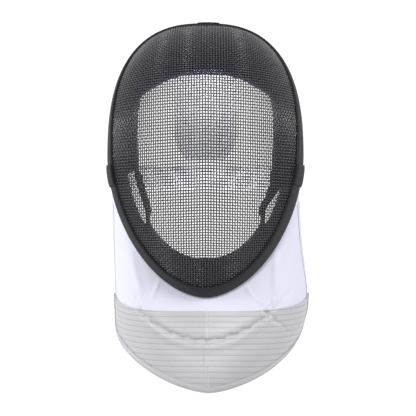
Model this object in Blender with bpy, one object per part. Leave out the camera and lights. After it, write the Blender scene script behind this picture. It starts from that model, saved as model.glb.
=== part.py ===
"""A foil fencing mask: formed wire front, bound edge, padded lining, tongue, strap and bib.

Metres, +Z up. The mask faces -Y and +X is the right side of a front view. The origin is
the crown seat, on the lining's inner face at the crown.
Angles called turns go round the mask's outline as a front view shows it: 0 at the ear on
the +X side, 90 degrees at the crown, 270 degrees at the chin.
"""

import math

import bmesh
import bpy
import numpy as np

# Outline of the wire front, seen from the front
HALF_WIDTH = 0.0995
CROWN_RISE = 0.1400
CHIN_DROP = 0.1465
CROWN_SQUARE = 2.6
CHIN_SQUARE = 1.82

# Depth of the wire front: how far forward or back of the crown seat it reaches.
# Its foremost point is FACE_RISE above the outline's centre.
FACE_REACH = 0.130
FACE_RISE = 0.005
CROWN_BACK = 0.021
EAR_FORWARD = 0.047
THROAT_FORWARD = 0.052

# How full the dome is, and how far round its profile turns, at the chin, the ears and the
# crown. A full quarter turn is a wall that runs straight back.
FULLNESS = (2.0, 1.8, 2.5)
PROFILE_TURN = (math.radians(59.5), math.radians(75.6), math.radians(84.3))

# Walls and clearances
MESH_WALL = 0.002
CLEARANCE = 0.0003
SLEEVE_GAP = 0.0005
LINING_GAP = 0.0008

# Binding of the wire front's edge
TRIM_WALL = 0.002
TRIM_LIP = 0.015
TRIM_LIP_LEAN = 0.003
TRIM_INNER_LIP = 0.010
TRIM_CORNER = 0.7

# Crown lap and strap tabs: sleeves over the binding
LAP_WALL = 0.0015
LAP_LENGTH = 0.024
LAP_OFFSET = 0.003
TAB_WALL = 0.0015
TAB_LENGTH = 0.022
TAB_TURN = math.radians(13)

# Lining
PAD_THICKNESS = 0.012
PAD_EDGE = 0.004
ROLL_THICKNESS = 0.008
LINING_THICKNESS = 0.003
PAD_SEAM = 0.0006
FOREHEAD_HALF_TURN = math.radians(49)
SLOT_TOP = {"left": math.radians(14.5), "right": math.radians(25.5)}
SLOT_BOTTOM = math.radians(49.5)
SLOT_INSIDE = 0.765
SLOT_OUTSIDE = 0.863
SLOT_CLOSED = {"left": (0.0, 0.65), "right": (0.75, 0.65)}
ROLL_LEAST_SHARE = 0.02

# Border of the face opening: turn from the ear, and share of the way out to the edge.
# The turn is 90 at the crown and -90 at the chin, in degrees. The border is smoothed over
# OPENING_BLUR half degrees to each side.
OPENING_BLUR = 12
FACE_OPENING = [
    # turn, share
    (-90, 0.764),
    (-78, 0.793),
    (-66, 0.827),
    (-56, 0.843),
    (-50, 0.800),
    (-43, 0.785),
    (-24, 0.745),
    (-8, 0.745),
    (12, 0.753),
    (27, 0.776),
    (36, 0.780),
    (41, 0.766),
    (46, 0.714),
    (54, 0.652),
    (67, 0.598),
    (78, 0.580),
    (90, 0.574),
]

# Bib
BIB_WALL = 0.0025
BIB_DROP = 0.2470
BIB_CURVE_RISE = 0.0615
BIB_CURVE_SQUARE = 1.52
BIB_HALF_WIDTH = 0.0975
BIB_FRONT = 0.062
BIB_BACK = 0.034
BIB_TOP_TURN = math.radians(20.5)
BIB_SWELL = {"left": 0.0, "right": 0.008}
BIB_SWELL_POWER = 2.4
BIB_LEAN = 0.003
BIB_CORNER_ACROSS = 0.14
BIB_CORNER_DOWN = 0.12
SEAM_GAP = 0.0003

# Conductive layer over the bib's lower part
LAME_WALL = 0.0012
LAME_TOP_DROP = 0.164
LAME_SIDE_RISE = 0.016

# Bindings of the bib's free edges
HEM_WIDTH = 0.006
HEM_WALL = 0.0009
BINDING_START = 0.009
BINDING_STOP_GAP = 0.0018

# Folds of the bib in a front view. Places and lengths are shares of HALF_WIDTH from the
# outline's centre, lift is a share of FOLD_LIFT, and lean is in degrees from level.
# The folds die out over FOLD_FADE of the way across and down towards the bib's edges.
FOLD_LIFT = 0.003
FOLD_FADE = 0.12
BIB_FOLDS = [
    # across, up, lean, half length, rise at the ends, half width, lift
    (0.00, -1.94, 0, 0.68, 0.28, 0.07, -1.0),
    (0.00, -2.06, 0, 0.60, 0.26, 0.09, 0.8),
    (0.69, -1.70, -43, 0.22, 0.00, 0.06, -0.9),
    (-0.72, -1.26, -75, 0.25, 0.00, 0.06, 0.9),
    (-0.52, -1.42, 56, 0.12, 0.00, 0.05, 0.6),
    (0.73, -1.27, 90, 0.26, 0.00, 0.07, 1.0),
    (0.46, -1.44, -53, 0.12, 0.00, 0.05, 0.6),
]

# Tongue at the back
TONGUE_WIDTH = 0.070
TONGUE_WALL = 0.006
TONGUE_BACK = 0.092
TONGUE_DROP = 0.100
TONGUE_END_ANGLE = math.radians(115)
TONGUE_OVERLAP = 0.009

# Elastic strap round the back
STRAP_WIDTH = 0.025
STRAP_WALL = 0.002
STRAP_BACK = 0.104

# How finely the curved shapes are cut
RIM_STEPS = 48
DOME_ROWS = (0.0, 0.1, 0.2, 0.3, 0.4, 0.49, 0.58, 0.66, 0.74, 0.81, 0.87, 0.92, 0.96, 1.0)
MERIDIAN_SAMPLES = 160
PAD_STEP = math.radians(7.5)
PAD_ROWS = 5
BIB_COLUMNS = 16
BIB_UPPER_ROWS = 5
LAME_ROWS = 6
TAB_STEPS = 4
TONGUE_STEPS = 14
TONGUE_COLUMNS = 6
STRAP_STEPS = 30
SIDE_BINDING_STEPS = 7
HEM_END_STEPS = 3
DIFFERENCE = 0.0005
BIB_DIFFERENCE = 0.002
FIRST_OUT = 0.02

# Colour, roughness and metallic value of each material
FINISHES = {
    "coated_wire": ((0.035, 0.035, 0.038), 0.45, 0.3),
    "black_binding": ((0.012, 0.012, 0.014), 0.8, 0.0),
    "navy_padding": ((0.02, 0.022, 0.06), 0.85, 0.0),
    "black_padding": ((0.012, 0.012, 0.014), 0.85, 0.0),
    "white_cotton": ((0.80, 0.80, 0.86), 0.8, 0.0),
    "grey_lame": ((0.50, 0.50, 0.53), 0.5, 0.4),
    "white_elastic": ((0.75, 0.75, 0.75), 0.75, 0.0),
}


def by_height(height, values):
    """A value that goes smoothly from the chin (-1) past the ears (0) to the crown (+1)."""
    chin, ears, crown = values
    return ears + (crown - chin) / 2 * height + ((crown + chin) / 2 - ears) * height**2


def unit(vectors):
    """Vectors of length one."""
    return vectors / np.linalg.norm(vectors, axis=-1, keepdims=True)


def rim_outline(turn):
    """Edge of the wire front in a front view: its radius, and its height as -1 to +1.

    The outline is a squared ellipse, where |x / width| and |z / reach| to a power add up
    to one, with its own reach and power above and below the ears.
    """
    upper = np.sin(turn) >= 0
    reach = np.where(upper, CROWN_RISE, CHIN_DROP)
    power = np.where(upper, CROWN_SQUARE, CHIN_SQUARE)
    sideways = np.abs(np.cos(turn) / HALF_WIDTH) ** power
    radius = (sideways + np.abs(np.sin(turn) / reach) ** power) ** (-1 / power)
    return radius, radius * np.sin(turn) / reach


def to_power(value, power):
    """A number to a power, with its own sign."""
    return np.sign(value) * np.abs(value) ** power


def dome_profile(turn):
    """Fullness and end angle of the dome's profile at a turn."""
    height = rim_outline(turn)[1]
    return by_height(height, FULLNESS), by_height(height, PROFILE_TURN)


def dome_shape(turn, out):
    """Middle of the wire front's wall, from its foremost point (out 0) to its edge (out 1).

    Heights are from the outline's centre.

    Each profile is part of a squared ellipse: with an angle that runs from 0 to the end
    angle, the share of the radius is sin to the power 2 / fullness, and the depth falls
    as cos to the same power.
    """
    radius, height = rim_outline(turn)
    fullness, end = dome_profile(turn)
    power = 2 / fullness
    share = (np.sin(out * end) / np.sin(end)) ** power
    depth = (1 - to_power(np.cos(out * end), power)) / (1 - to_power(np.cos(end), power))
    edge_y = by_height(height, (-THROAT_FORWARD, -EAR_FORWARD, CROWN_BACK))
    return np.stack(
        [
            share * radius * np.cos(turn),
            -FACE_REACH + depth * (edge_y + FACE_REACH),
            share * radius * np.sin(turn) + (1 - share) * FACE_RISE,
        ],
        axis=-1,
    )


def crown_seat_height():
    """Height of the lining's inner face at the crown, over the outline's centre."""
    turns = np.full(MERIDIAN_SAMPLES, math.pi / 2)
    line = dome_shape(turns, np.linspace(0, 1, MERIDIAN_SAMPLES))
    wall_height = np.interp(0, line[:, 1], line[:, 2])
    return wall_height - MESH_WALL / 2 - LINING_GAP - PAD_THICKNESS


CENTRE_Z = -crown_seat_height()


def dome_point(turn, out):
    """Middle of the wire front's wall, in the part's own frame."""
    return dome_shape(turn, out) + np.array([0, 0, CENTRE_Z])


def out_of_share(turn, share):
    """The dome's out value at which a profile has gone a share of the way to the edge."""
    fullness, end = dome_profile(turn)
    return np.arcsin(np.sin(end) * share ** (fullness / 2)) / end


def out_at_distance(turn, distance):
    """The dome's out value at a distance along the wall from its edge."""
    turns = np.atleast_1d(turn)
    outs = np.linspace(0, 1, MERIDIAN_SAMPLES)
    lines = dome_point(turns[:, None], outs[None, :])
    steps = np.linalg.norm(np.diff(lines, axis=1), axis=-1)
    to_edge = np.concatenate(
        [np.cumsum(steps[:, ::-1], axis=1)[:, ::-1], np.zeros((len(turns), 1))], axis=1
    )
    distances = np.broadcast_to(distance, turns.shape)
    found = [
        np.interp(d, line[::-1], outs[::-1]) for d, line in zip(distances, to_edge)
    ]
    return np.array(found)


def dome_directions(turn, out):
    """The dome's outward normal, and the direction along it towards its edge."""
    out = np.clip(out, FIRST_OUT, 1 - DIFFERENCE)
    around = dome_point(turn + DIFFERENCE, out) - dome_point(turn - DIFFERENCE, out)
    outward = dome_point(turn, out + DIFFERENCE) - dome_point(turn, out - DIFFERENCE)
    return unit(np.cross(outward, around)), unit(outward)


def dome_offset(turn, out, offset):
    """A point at an offset outside the middle of the wire front's wall."""
    normal = dome_directions(turn, out)[0]
    return dome_point(turn, out) + normal * np.asarray(offset)[..., None]


def edge_point(turn, distance, offset):
    """A point near the edge: a distance in from it, or beyond it where that is negative."""
    inside = out_at_distance(turn, np.maximum(distance, 0))
    normal, along = dome_directions(turn, inside)
    beyond = np.maximum(-np.asarray(distance), 0) * np.ones_like(turn)
    return dome_point(turn, inside) + normal * offset + along * beyond[:, None]


def finish(name):
    """A material with the colour, roughness and metallic value listed for it."""
    if name in bpy.data.materials:
        return bpy.data.materials[name]
    colour, roughness, metallic = FINISHES[name]
    material = bpy.data.materials.new(name)
    material.use_nodes = True
    shader = material.node_tree.nodes["Principled BSDF"]
    shader.inputs["Base Color"].default_value = (*colour, 1)
    shader.inputs["Roughness"].default_value = roughness
    shader.inputs["Metallic"].default_value = metallic
    material.diffuse_color = (*colour, 1)
    return material


def solid(name, points, faces, material):
    """One closed object from points and faces, with its faces turned outwards."""
    mesh = bpy.data.meshes.new(name)
    mesh.from_pydata([tuple(p) for p in points], [], [tuple(f) for f in faces])
    shape = bmesh.new()
    shape.from_mesh(mesh)
    bmesh.ops.recalc_face_normals(shape, faces=shape.faces)
    shape.to_mesh(mesh)
    shape.free()
    mesh.shade_smooth()
    mesh.set_sharp_from_angle(angle=math.radians(35))
    mesh.materials.append(finish(material))
    piece = bpy.data.objects.new(name, mesh)
    bpy.context.collection.objects.link(piece)
    return piece


def grid_faces(numbers):
    """Four-sided faces between the rows and columns of a grid of point numbers."""
    corners = [numbers[:-1, :-1], numbers[:-1, 1:], numbers[1:, 1:], numbers[1:, :-1]]
    return np.stack(corners, axis=-1).reshape(-1, 4).tolist()


def wall(name, outer, inner, material):
    """A closed wall between two grids of points, its four edges closed with strips."""
    rows, columns = outer.shape[:2]
    top = np.arange(rows * columns).reshape(rows, columns)
    low = top + rows * columns
    faces = grid_faces(top) + grid_faces(low)
    for edge in (np.s_[0, :], np.s_[-1, :], np.s_[:, 0], np.s_[:, -1]):
        faces += grid_faces(np.stack([top[edge], low[edge]]))
    points = np.concatenate([outer.reshape(-1, 3), inner.reshape(-1, 3)])
    return solid(name, points, faces, material)


def sweep(name, sections, material, ring=False):
    """A solid through a row of closed sections, joined in a ring or with flat ends."""
    count, around = sections.shape[:2]
    numbers = np.arange(count * around).reshape(count, around)
    closed = np.concatenate([numbers, numbers[:, :1]], axis=1)
    if ring:
        closed = np.concatenate([closed, closed[:1]])
    faces = grid_faces(closed)
    if not ring:
        faces += [numbers[0].tolist(), numbers[-1].tolist()]
    return solid(name, sections.reshape(-1, 3), faces, material)


def make_wire_mesh():
    """The formed wire front as one bowl, with a wall as thick as two crossed wires."""
    turns = np.arange(RIM_STEPS) * 2 * math.pi / RIM_STEPS
    outs = np.array(DOME_ROWS[1:])
    grid_turns, grid_outs = np.meshgrid(turns, outs)
    half = MESH_WALL / 2
    outer = dome_offset(grid_turns, grid_outs, half)
    inner = dome_offset(grid_turns, grid_outs, -half)
    count = grid_turns.size
    top = np.arange(count).reshape(grid_turns.shape)
    top = np.concatenate([top, top[:, :1]], axis=1)
    low = top + count
    front, back = 2 * count, 2 * count + 1
    faces = grid_faces(top) + grid_faces(low) + grid_faces(np.stack([top[-1], low[-1]]))
    faces += [(front, a, b) for a, b in zip(top[0, :-1], top[0, 1:])]
    faces += [(back, a, b) for a, b in zip(low[0, :-1], low[0, 1:])]
    tip_z = CENTRE_Z + FACE_RISE
    tips = [(0, -FACE_REACH - half, tip_z), (0, -FACE_REACH + half, tip_z)]
    points = np.concatenate([outer.reshape(-1, 3), inner.reshape(-1, 3), tips])
    return solid("wire_mesh", points, faces, "coated_wire")


def channel_sections(turns, outer_lip, inner_lip, inside, wall_thickness):
    """U-shaped sections round the wire front's edge, from lip to lip and back inside.

    Distances are measured along the wall from its edge, and offsets from its middle.
    The inside size is half the channel's clear width, and also how far past the edge
    its clear depth goes.
    """
    outside = inside + wall_thickness
    past = inside - MESH_WALL / 2
    corner = wall_thickness * TRIM_CORNER
    path = [
        (outer_lip, outside),
        (outer_lip / 2, outside),
        (0, outside),
        (-past - wall_thickness + corner, outside),
        (-past - wall_thickness, outside - corner),
        (-past - wall_thickness, corner - outside),
        (-past - wall_thickness + corner, -outside),
        (0, -outside),
        (inner_lip, -outside),
        (inner_lip, -inside),
        (0, -inside),
        (-past, -inside),
        (-past, inside),
        (0, inside),
        (outer_lip / 2, inside),
        (outer_lip, inside),
    ]
    rings = [edge_point(turns, d * np.ones_like(turns), offset) for d, offset in path]
    return np.stack(rings, axis=1)


def trim_lip(turns):
    """Width of the binding's outer lip, which leans to the +X side."""
    return TRIM_LIP + TRIM_LIP_LEAN * np.cos(turns)


def make_edge_trim():
    """The binding folded round the wire front's edge, all the way round."""
    turns = np.arange(RIM_STEPS) * 2 * math.pi / RIM_STEPS
    inside = MESH_WALL / 2 + CLEARANCE
    sections = channel_sections(turns, trim_lip(turns), TRIM_INNER_LIP, inside, TRIM_WALL)
    return sweep("edge_trim", sections, "black_binding", ring=True)


def make_sleeve(name, middle_turn, length, thickness):
    """A folded sleeve over the binding, a length of it along the edge."""
    radius = rim_outline(np.array(middle_turn))[0]
    half = length / 2 / radius
    turns = np.linspace(middle_turn - half, middle_turn + half, TAB_STEPS + 1)
    inside = MESH_WALL / 2 + CLEARANCE + TRIM_WALL + SLEEVE_GAP
    spare = thickness / 2
    outer_lip = trim_lip(turns) + spare
    sections = channel_sections(turns, outer_lip, TRIM_INNER_LIP - spare, inside, thickness)
    return sweep(name, sections, "black_binding")


def opening_share(turn):
    """Share of the way out at which the face opening ends, smooth between the rows."""
    height = np.degrees(np.arcsin(np.clip(np.sin(turn), -1, 1)))
    rows = np.array(FACE_OPENING)
    fine = np.linspace(-90, 90, 2 * 180 + 1)
    shares = np.interp(fine, rows[:, 0], rows[:, 1])
    blur = np.hanning(2 * OPENING_BLUR + 1)
    padded = np.pad(shares, OPENING_BLUR, mode="reflect")
    return np.interp(height, fine, np.convolve(padded, blur / blur.sum(), mode="valid"))


def lining_outs(turns, start, end, rows):
    """Rows of out values from a start share to an end share, or to the binding's lip."""
    lip = out_at_distance(turns, TRIM_INNER_LIP + PAD_SEAM)
    first = out_of_share(turns, start)
    last = lip if end is None else out_of_share(turns, end)
    ways = np.linspace(0, 1, rows + 1)[:, None]
    return first + (last - first) * ways


def make_pad(name, first, last, start, end, thickness, material, rows=PAD_ROWS):
    """A crowned pad on the inside of the wire front, between two turns and two shares.

    It is thin at its edges and full in the middle: its thickness falls with the fourth
    power of the way across and the tenth power of the way along.
    """
    radius = rim_outline(np.array([first, last]))[0]
    first, last = first + PAD_SEAM / 2 / radius[0], last - PAD_SEAM / 2 / radius[1]
    steps = max(2, round((last - first) / PAD_STEP))
    turns = np.linspace(first, last, steps + 1)
    outs = lining_outs(turns, start(turns), end(turns) if end else None, rows)
    across = np.linspace(-1, 1, rows + 1)[:, None]
    along = np.linspace(-1, 1, steps + 1)[None, :]
    full = (1 - across**4) * (1 - along**10)
    depth = PAD_EDGE + (thickness - PAD_EDGE) * full if thickness > PAD_EDGE else thickness
    grid_turns = np.broadcast_to(turns, outs.shape)
    face = MESH_WALL / 2 + LINING_GAP
    outer = dome_offset(grid_turns, outs, -face * np.ones_like(outs))
    inner = dome_offset(grid_turns, outs, -(face + depth) * np.ones_like(outs))
    return wall(name, outer, inner, material)


def steady(share):
    """A border at the same share of the way out at every turn."""
    return lambda turns: np.full_like(turns, share)


def make_lining():
    """The padded lining round the face opening, with its two open slots at the cheeks."""
    crown = math.pi / 2
    ear_left, chin = math.pi, 1.5 * math.pi
    make_pad(
        "forehead_pad", crown - FOREHEAD_HALF_TURN, crown + FOREHEAD_HALF_TURN,
        opening_share, None, PAD_THICKNESS, "navy_padding",
    )
    slot_left, slot_right = SLOT_TOP["left"], SLOT_TOP["right"]
    make_pad(
        "temple_pad_left", crown + FOREHEAD_HALF_TURN, ear_left + slot_left,
        opening_share, None, PAD_THICKNESS, "black_padding",
    )
    make_pad(
        "temple_pad_right", -slot_right, crown - FOREHEAD_HALF_TURN,
        opening_share, None, PAD_THICKNESS, "black_padding",
    )
    make_pad(
        "chin_pad", ear_left + SLOT_BOTTOM, 2 * math.pi - SLOT_BOTTOM,
        opening_share, None, PAD_THICKNESS, "black_padding",
    )
    sides = {
        "left": (ear_left + slot_left, ear_left + SLOT_BOTTOM),
        "right": (2 * math.pi - SLOT_BOTTOM, 2 * math.pi - slot_right),
    }
    for side, (first, last) in sides.items():
        make_pad(
            f"cheek_roll_{side}", first, last, slot_roll_start(side), slot_inside(side),
            ROLL_THICKNESS, "black_padding", rows=2,
        )
        make_pad(
            f"rim_lining_{side}", first, last, steady(SLOT_OUTSIDE), None,
            LINING_THICKNESS, "black_padding", rows=3,
        )


def slot_inside(side):
    """Inner border of a slot, closed in by a share of its width at its two ends.

    It closes with the square of the way up and the eighth power of the way down.
    """
    upper, lower = SLOT_CLOSED[side]
    top, width = SLOT_TOP[side], SLOT_OUTSIDE - SLOT_INSIDE

    def border(turns):
        """The border's share at each turn."""
        below = np.arcsin(np.clip(-np.sin(turns), -1, 1))
        way = np.clip((below - top) / (SLOT_BOTTOM - top), 0, 1)
        return SLOT_INSIDE + width * (upper * (1 - way) ** 2 + lower * way**8)

    return border


def slot_roll_start(side):
    """The face opening's border beside a slot, kept clear of the slot's own border."""
    border = slot_inside(side)
    return lambda turns: np.minimum(opening_share(turns), border(turns) - ROLL_LEAST_SHARE)


def bib_top(across):
    """The bib's upper edge, which meets the back of the binding's web from ear to ear."""
    turn = 1.5 * math.pi + across * (math.pi / 2 - BIB_TOP_TURN)
    past = CLEARANCE + TRIM_WALL + SLEEVE_GAP + BIB_WALL / 2
    flat = edge_point(turn.ravel(), np.full(turn.size, -past), 0)
    return flat.reshape(*turn.shape, 3)


def bib_low(across):
    """The bib's lower edge: a squared ellipse from the front, an ellipse in plan.

    The whole edge hangs a little towards +X.
    """
    angle = np.abs(across) * math.pi / 2
    power = 2 / BIB_CURVE_SQUARE
    side = np.sin(angle) ** power
    plan = 1 - np.sqrt(np.clip(1 - side**2, 0, None))
    curve_z = CENTRE_Z - BIB_DROP + BIB_CURVE_RISE
    return np.stack(
        [
            BIB_LEAN + np.sign(across) * BIB_HALF_WIDTH * side,
            -BIB_FRONT + (BIB_FRONT + BIB_BACK) * plan,
            curve_z - BIB_CURVE_RISE * np.cos(angle) ** power,
        ],
        axis=-1,
    )


def fold_lift(x, z):
    """Height of the bib's folds at a place in a front view: soft ridges along arcs."""
    lift = np.zeros_like(x)
    for across, up, lean, half_length, rise, half_width, share in BIB_FOLDS:
        side, high = x / HALF_WIDTH - across, (z - CENTRE_Z) / HALF_WIDTH - up
        slope = math.radians(lean)
        along = (side * math.cos(slope) + high * math.sin(slope)) / half_length
        off = high * math.cos(slope) - side * math.sin(slope) - rise * along**2
        lift += share * np.exp(-((off / half_width) ** 2) - along**4)
    return FOLD_LIFT * lift


def bib_base(across, down):
    """Middle of the bib's wall before its folds: from the upper edge to the lower.

    Between them it swells outwards, more on the right than on the left, as the sine of a
    power of the way down, so that it is fullest low down.
    """
    top, low = bib_top(across), bib_low(across)
    angle = across * math.pi / 2
    outward = np.stack([np.sin(angle), -np.cos(angle), np.zeros_like(angle)], axis=-1)
    left, right = BIB_SWELL["left"], BIB_SWELL["right"]
    fullest = (left + right) / 2 + (right - left) / 2 * np.sin(angle)
    swell = fullest * np.sin(math.pi * np.clip(down, 0, 1) ** BIB_SWELL_POWER)
    return top + (low - top) * down[..., None] + outward * swell[..., None]


def bib_normal(across, down):
    """The bib's outward normal, without its folds."""
    step = BIB_DIFFERENCE
    sideways = bib_base(np.minimum(across + step, 1), down) - bib_base(
        np.maximum(across - step, -1), down
    )
    downwards = bib_base(across, down + step) - bib_base(across, down - step)
    return unit(np.cross(downwards, sideways))


def bib_offset(across, down, offset):
    """A point at an offset outside the middle of the bib's wall, with its folds."""
    base = bib_base(across, down)
    to_edges = [down, bib_end(across) - down, 1 - np.abs(across)]
    fade = np.prod([np.clip(share / FOLD_FADE, 0, 1) for share in to_edges], axis=0)
    lift = fold_lift(base[..., 0], base[..., 2]) * fade + offset
    return base + bib_normal(across, down) * lift[..., None]


def bib_end(across):
    """How far down the bib reaches, rounded off at its two lower corners."""
    into = np.clip((np.abs(across) - 1 + BIB_CORNER_ACROSS) / BIB_CORNER_ACROSS, 0, 1)
    return 1 - BIB_CORNER_DOWN * (1 - np.sqrt(1 - into**2))


def lame_start(across):
    """How far down the bib its conductive layer starts, from its height in front."""
    top, low = bib_top(across)[..., 2], bib_low(across)[..., 2]
    height = CENTRE_Z - LAME_TOP_DROP + LAME_SIDE_RISE * np.abs(across) ** 3
    return (top - height) / (top - low)


def bib_columns(side):
    """Columns across one half of the bib, from its middle seam to its back edge."""
    return side * np.linspace(0, 1, BIB_COLUMNS + 1)


def make_bib_half(name, side):
    """One half of the bib: its cotton wall, and the conductive layer over its lower part."""
    columns = bib_columns(side)
    start, end = lame_start(columns), bib_end(columns)
    upper = np.linspace(0, 1, BIB_UPPER_ROWS + 1)[:-1, None] * start
    lower = start + np.linspace(0, 1, LAME_ROWS + 1)[:, None] * (end - start)
    half = BIB_WALL / 2
    layers = {
        f"bib_cloth_{name}": (np.concatenate([upper, lower]), -half, half, "white_cotton"),
        f"bib_lame_{name}": (
            lower, half + CLEARANCE, half + CLEARANCE + LAME_WALL, "grey_lame",
        ),
    }
    for piece, (downs, inside, outside, material) in layers.items():
        across = np.broadcast_to(columns, downs.shape)
        from_seam = np.array([side * SEAM_GAP / 2, 0, 0])
        outer = bib_offset(across, downs, outside) + from_seam
        inner = bib_offset(across, downs, inside) + from_seam
        wall(piece, outer, inner, material)


def bib_moved(across, down, move):
    """The place on the bib that lies a small move away, by the slopes of its surface."""
    step = BIB_DIFFERENCE
    low, high = np.maximum(across - step, -1), np.minimum(across + step, 1)
    sideways = (bib_base(high, down) - bib_base(low, down)) / (high - low)[..., None]
    downwards = (bib_base(across, down + step) - bib_base(across, down - step)) / (2 * step)
    ss, sd = (sideways * sideways).sum(-1), (sideways * downwards).sum(-1)
    dd = (downwards * downwards).sum(-1)
    ms, md = (move * sideways).sum(-1), (move * downwards).sum(-1)
    share = ss * dd - sd * sd
    moved = np.clip(across + (ms * dd - md * sd) / share, -1, 1)
    return moved, down + (md * ss - ms * sd) / share


def binding_sections(across, down, outside, binding_wall):
    """U-shaped sections along a path on the bib's free edge.

    The path's places on the bib are given by how far across and down they are. Each
    section goes in from the edge along the bib, square to the path.
    """
    path = unit(np.gradient(bib_base(across, down), axis=0))
    past = unit(np.cross(path, bib_normal(across, down)))
    inside = -BIB_WALL / 2 - SLEEVE_GAP
    outside = outside + SLEEVE_GAP
    deep_across, deep_down = bib_moved(across, down, -past * HEM_WIDTH)
    lip = [
        bib_offset(deep_across, deep_down, offset)
        for offset in (outside + binding_wall, outside, inside, inside - binding_wall)
    ]
    edge = bib_base(across, down)
    normal = bib_normal(across, down)
    web = [
        edge + past * reach + normal * offset
        for reach, offset in (
            (SLEEVE_GAP + binding_wall, outside + binding_wall),
            (SLEEVE_GAP, outside),
            (SLEEVE_GAP, inside),
            (SLEEVE_GAP + binding_wall, inside - binding_wall),
        )
    ]
    rows = [lip[0], web[0], web[3], lip[3], lip[2], web[2], web[1], lip[1]]
    return np.stack(rows, axis=1)


def make_bindings():
    """The grey hem of the bib's lower edge, and the cotton binding of its side edges."""
    columns = np.concatenate([bib_columns(-1)[::-1], bib_columns(1)[1:]])
    corner = bib_end(np.array(1.0))
    top = float(lame_start(np.array([1.0]))[0])
    rise = np.linspace(top, corner, HEM_END_STEPS + 1)[:-1]
    ends = np.ones(HEM_END_STEPS)
    across = np.concatenate([-ends, columns, ends])
    down = np.concatenate([rise, bib_end(columns), rise[::-1]])
    stack = BIB_WALL / 2 + CLEARANCE + LAME_WALL
    sections = binding_sections(across, down, stack, HEM_WALL)
    sweep("bib_hem", sections, "grey_lame")
    start = BINDING_START / (BIB_DROP - CHIN_DROP)
    stop = top - BINDING_STOP_GAP / (CHIN_DROP - BIB_CURVE_RISE)
    steps = np.linspace(start, stop, SIDE_BINDING_STEPS)
    for name, side, down in (("left", -1.0, steps), ("right", 1.0, steps[::-1])):
        edge = np.full(SIDE_BINDING_STEPS, side)
        sections = binding_sections(edge, down, BIB_WALL / 2, HEM_WALL)
        sweep(f"side_binding_{name}", sections, "white_cotton")


def crown_drop(x):
    """How far the crown's edge has fallen at a distance from the middle."""
    share = np.abs(x / HALF_WIDTH) ** CROWN_SQUARE
    return CROWN_RISE * (1 - (1 - share) ** (1 / CROWN_SQUARE))


def make_back_tongue():
    """The sprung tongue: from under the crown's lap, down the back of the mask."""
    sleeve = MESH_WALL / 2 + CLEARANCE + TRIM_WALL + SLEEVE_GAP + LAP_WALL
    start_y = CROWN_BACK - TONGUE_OVERLAP
    crown = np.array([math.pi / 2])
    top_z = edge_point(crown, np.array([TRIM_INNER_LIP]), -sleeve - SLEEVE_GAP)[0][2]
    angle = np.linspace(0, TONGUE_END_ANGLE, TONGUE_STEPS + 1)[:, None]
    x = np.linspace(-0.5, 0.5, TONGUE_COLUMNS + 1)[None, :] * TONGUE_WIDTH
    reach_y = TONGUE_BACK - start_y

    def face(depth):
        """The tongue's face at a depth under its outer side, as an ellipse in profile."""
        drop = depth + crown_drop(x)
        y = start_y + (reach_y - drop) * np.sin(angle)
        z = top_z - TONGUE_DROP + (TONGUE_DROP - drop) * np.cos(angle)
        return np.stack([x * np.ones_like(angle), y, z], axis=-1)

    return wall("back_tongue", face(0), face(TONGUE_WALL), "white_cotton")


def make_back_strap():
    """The elastic strap, from tab to tab round the back of the mask.

    It is half an ellipse in plan, and its two ends lean as the binding does there.
    """
    turn = np.array([-TAB_TURN])
    past = CLEARANCE + TRIM_WALL + 3 * SLEEVE_GAP + TAB_WALL
    start = edge_point(turn, np.array([-past]), 0)[0]
    angle = np.linspace(-math.pi / 2, math.pi / 2, STRAP_STEPS + 1)[:, None]
    half_height = np.array([0.5, 0.5, -0.5, -0.5]) * STRAP_WIDTH
    depth = np.array([0.5, -0.5, -0.5, 0.5]) * STRAP_WALL
    rise = dome_point(turn + PAD_STEP / 2, 1.0)[0] - dome_point(turn - PAD_STEP / 2, 1.0)[0]
    lean = rise[1] / rise[2]
    reach = STRAP_BACK - start[1]
    x = (start[0] + depth) * np.sin(angle)
    y = start[1] + lean * half_height * np.sin(angle) ** 2 + (reach + depth) * np.cos(angle)
    z = start[2] + half_height * np.ones_like(angle)
    return sweep("back_strap", np.stack([x, y, z], axis=-1), "white_elastic")


def make_mask():
    """Every piece of the mask, from the wire front to the strap."""
    make_wire_mesh()
    make_edge_trim()
    lap_turn = math.pi / 2 - LAP_OFFSET / CROWN_RISE
    make_sleeve("crown_tab", lap_turn, LAP_LENGTH, LAP_WALL)
    make_sleeve("strap_tab_left", math.pi + TAB_TURN, TAB_LENGTH, TAB_WALL)
    make_sleeve("strap_tab_right", 2 * math.pi - TAB_TURN, TAB_LENGTH, TAB_WALL)
    make_lining()
    make_bib_half("left", -1)
    make_bib_half("right", 1)
    make_bindings()
    make_back_tongue()
    make_back_strap()


for startup_object in list(bpy.data.objects):
    bpy.data.objects.remove(startup_object)
make_mask()
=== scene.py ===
"""Looks of a foil fencing mask: woven wire front, bound edge, padded lining and cloth bib.

Metres, +Z up. The mask faces -Y, and +X is the right side of a front view. Turns go round
the mask's outline: 0 at the ear on the +X side, 90 degrees at the crown, 270 at the chin.
"""

import math

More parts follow.
